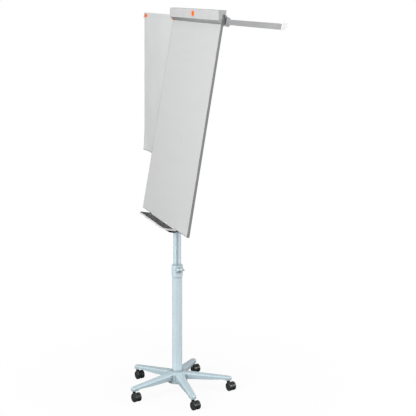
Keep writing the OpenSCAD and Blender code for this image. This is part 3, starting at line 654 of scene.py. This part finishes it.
SHEET_COLUMNS = 56
SHEET_ROWS = 90
BAND_ROWS = 10
PAGE_THICKNESS = 0.5 * MM
# Depth of the page's bow off its plane, greatest halfway down and in the middle of the width
PAGE_BOW = 3 * MM
PAGE_WAVE = 1.2 * MM
CORNER_CURL = 7 * MM
# Shares of the half width and of the height at which a lower corner starts to curl
CURL_ACROSS = 0.72
CURL_DOWN = 0.8


def drape(across, down):
    """How far the hanging page stands off its plane, in metres: bow, slow waves, curled lower corners.

    across runs from -1 to 1 over the width, down from 0 at the crease to 1 at the lower edge.
    """
    bow = -PAGE_BOW * math.sin(math.pi * down) * (1 - across * across)
    wave = PAGE_WAVE * down * math.sin(4.1 * across + 0.9) * math.cos(2.6 * down)
    corner = max(0.0, abs(across) - CURL_ACROSS) / (1 - CURL_ACROSS)
    low = max(0.0, (down - CURL_DOWN) / (1 - CURL_DOWN))
    return bow + wave - CORNER_CURL * corner ** 2 * low ** 2


def hanging_sheet():
    """The sheet hung on the left arm: a stiff band in line with the arm, then a page that hangs plumb."""
    band_low, band_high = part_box("binding_strip")
    page_low, page_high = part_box("display_sheet")
    crease = Vector((0, (page_low.y + page_high.y) / 2, page_high.z))
    band_length = (band_high.z - band_low.z) / UPWARD.z
    shape = bmesh.new()
    rows = []
    for r in range(BAND_ROWS):
        at = crease + UPWARD * band_length * (1 - r / BAND_ROWS)
        rows.append([(at.y, at.z)] * (SHEET_COLUMNS + 1))
    for r in range(SHEET_ROWS + 1):
        down = r / SHEET_ROWS
        z = page_high.z - down * (page_high.z - page_low.z)
        shares = [2 * c / SHEET_COLUMNS - 1 for c in range(SHEET_COLUMNS + 1)]
        rows.append([(crease.y + drape(share, down), z) for share in shares])
    width = page_high.x - page_low.x
    grid = []
    for row in rows:
        verts = []
        for c, (y, z) in enumerate(row):
            verts.append(shape.verts.new((page_low.x + width * c / SHEET_COLUMNS, y, z)))
        grid.append(verts)
    for r in range(len(grid) - 1):
        for c in range(SHEET_COLUMNS):
            face = shape.faces.new((grid[r][c], grid[r + 1][c], grid[r + 1][c + 1], grid[r][c + 1]))
            face.material_index = 1 if r < BAND_ROWS else 0
    bmesh.ops.recalc_face_normals(shape, faces=shape.faces)
    bmesh.ops.solidify(shape, geom=shape.faces[:], thickness=PAGE_THICKNESS)
    paper = FINISHES["sheet"].material
    piece = make_piece("hanging_sheet", shape, Matrix.Identity(4), paper, None)
    piece.data.materials.append(sheet_paper("sheet_band", shade(SHEET_WHITE, 0.95)).material)
    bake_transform(piece)
    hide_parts("binding_strip", "display_sheet")


# ---- studio ----


FLOOR_HALF_WIDTH = 30
# What the camera sees of the floor, and the darker grey that lights the object from below
FLOOR_SEEN = (0.9, 0.9, 0.9, 1)
FLOOR_BOUNCE = (0.14, 0.14, 0.14, 1)
# Distances from the mast between which the floor fades to white, and its share of white at the first
FADE_NEAR, FADE_FAR = 0.2, 1.2
FADE_START = 0.93


def floor():
    """Wide pale floor: it bounces a little light, takes a faint shadow and fades to white."""
    shape = bmesh.new()
    bmesh.ops.create_grid(shape, x_segments=8, y_segments=8, size=FLOOR_HALF_WIDTH)
    mesh = bpy.data.meshes.new("floor")
    shape.to_mesh(mesh)
    shape.free()
    ground = bpy.data.objects.new("floor", mesh)
    bpy.context.scene.collection.objects.link(ground)
    look = Look("floor")
    seen = look.add("ShaderNodeLightPath").outputs["Is Camera Ray"]
    look.surface(Base_Color=look.mix(seen, FLOOR_BOUNCE, FLOOR_SEEN), Roughness=0.9)
    white = look.add("ShaderNodeEmission", {"Color": (1, 1, 1, 1), "Strength": 1.0})
    away = look.add("ShaderNodeVectorMath", {0: look.place}, operation="LENGTH").outputs["Value"]
    fade = look.remap(away, FADE_NEAR, FADE_FAR, FADE_START, 1.0)
    share = look.math("MULTIPLY", fade, seen)
    joined = look.add("ShaderNodeMixShader", {0: share, 1: look.shader.outputs[0], 2: white.outputs[0]})
    look.feed(look.tree.nodes["Material Output"].inputs["Surface"], joined.outputs[0])
    mesh.materials.append(look.material)


def area_light(name, place, aim, size, power):
    """Rectangular soft light at a place, turned towards aim; its power is in watts."""
    data = bpy.data.lights.new(name, "AREA")
    data.shape = "RECTANGLE"
    data.size, data.size_y = size
    data.energy = power
    lamp = bpy.data.objects.new(name, data)
    lamp.location = place
    lamp.rotation_euler = (Vector(aim) - Vector(place)).to_track_quat("-Z", "Y").to_euler()
    bpy.context.scene.collection.objects.link(lamp)


# Direction, in plan, in which the grey room is dimmest, with its strength away from it and along it
CAMERA_SIDE = (0.948, -0.317, 0)
ROOM_AWAY, ROOM_CAMERA = 0.42, 0.345


def surroundings():
    """White for the camera; a softer grey room for light and reflections, dimmer on the camera's side."""
    world = bpy.data.worlds.new("room")
    bpy.context.scene.world = world
    world.use_nodes = True
    nodes, links = world.node_tree.nodes, world.node_tree.links
    white = nodes["Background"]
    white.inputs["Color"].default_value = (1, 1, 1, 1)
    white.inputs["Strength"].default_value = 1.0
    place = nodes.new("ShaderNodeTexCoord")
    side = nodes.new("ShaderNodeVectorMath")
    side.operation = "DOT_PRODUCT"
    side.inputs[1].default_value = CAMERA_SIDE
    dim = nodes.new("ShaderNodeMapRange")
    dim.inputs["From Min"].default_value = -0.4
    dim.inputs["From Max"].default_value = 0.9
    dim.inputs["To Min"].default_value = ROOM_AWAY
    dim.inputs["To Max"].default_value = ROOM_CAMERA
    room = nodes.new("ShaderNodeBackground")
    rays = nodes.new("ShaderNodeLightPath")
    choose = nodes.new("ShaderNodeMixShader")
    links.new(place.outputs["Generated"], side.inputs[0])
    links.new(side.outputs["Value"], dim.inputs["Value"])
    links.new(dim.outputs[0], room.inputs["Strength"])
    links.new(rays.outputs["Is Camera Ray"], choose.inputs[0])
    links.new(room.outputs[0], choose.inputs[1])
    links.new(white.outputs[0], choose.inputs[2])
    links.new(choose.outputs[0], nodes["World Output"].inputs["Surface"])


LIGHT_AIM = (0, 0, 1.1)
# Name, place, width and height, and power in watts
LIGHTS = [
    ("key", (1.1, -5.0, 3.0), (2.4, 2.4), 202),
    ("fill", (2.4, 4.6, 2.0), (2.2, 2.2), 145),
    ("top", (1.9, -0.6, 4.9), (0.9, 0.9), 27),
    ("side", (4.6, -1.2, 1.9), (1.8, 1.8), 56),
]


def lights():
    """Four soft lights round the easel."""
    for name, place, size, power in LIGHTS:
        area_light(name, place, LIGHT_AIM, size, power)


# The photo's viewpoint: a level camera that looks along this heading, with its lens shifted
VIEWPOINT = (4.865, -1.629, 1.957)
HEADING = math.radians(71.5)
LENS = 90.8
SENSOR_WIDTH = 36
SHIFT_RIGHT, SHIFT_UP = 0.0745, -0.528
FARTHEST = 60
# Off the viewpoint by this much, the lens shift is gone
SHIFT_REACH = 0.05


def shift_lens(data, path, amount, eye, viewpoint):
    """Shifts the lens while the eye stands at the viewpoint. A curve over their distance holds it."""
    curve = data.driver_add(path)
    for modifier in list(curve.modifiers):
        curve.modifiers.remove(modifier)
    curve.driver.type = "SUM"
    apart = curve.driver.variables.new()
    apart.type = "LOC_DIFF"
    apart.targets[0].id = eye
    apart.targets[1].id = viewpoint
    for distance, shift in ((0, amount), (SHIFT_REACH, 0)):
        curve.keyframe_points.insert(distance, shift).interpolation = "LINEAR"
    curve.extrapolation = "CONSTANT"


def camera():
    """Level camera with a shifted lens; the shift belongs to this viewpoint and is off at any other."""
    data = bpy.data.cameras.new("camera")
    eye = bpy.data.objects.new("camera", data)
    viewpoint = bpy.data.objects.new("viewpoint", None)
    for made in (eye, viewpoint):
        bpy.context.scene.collection.objects.link(made)
        made.location = VIEWPOINT
    bpy.context.scene.camera = eye
    eye.rotation_euler = (math.radians(90), 0, HEADING)
    data.lens = LENS
    data.sensor_width = SENSOR_WIDTH
    data.clip_end = FARTHEST
    shift_lens(data, "shift_x", SHIFT_RIGHT, eye, viewpoint)
    shift_lens(data, "shift_y", SHIFT_UP, eye, viewpoint)


dress_cad_nodes()
sheet_pegs()
clamp_button()
latch_leaf()
hanging_sheet()
floor()
surroundings()
lights()
camera()
bpy.context.scene.view_settings.view_transform = "Standard"
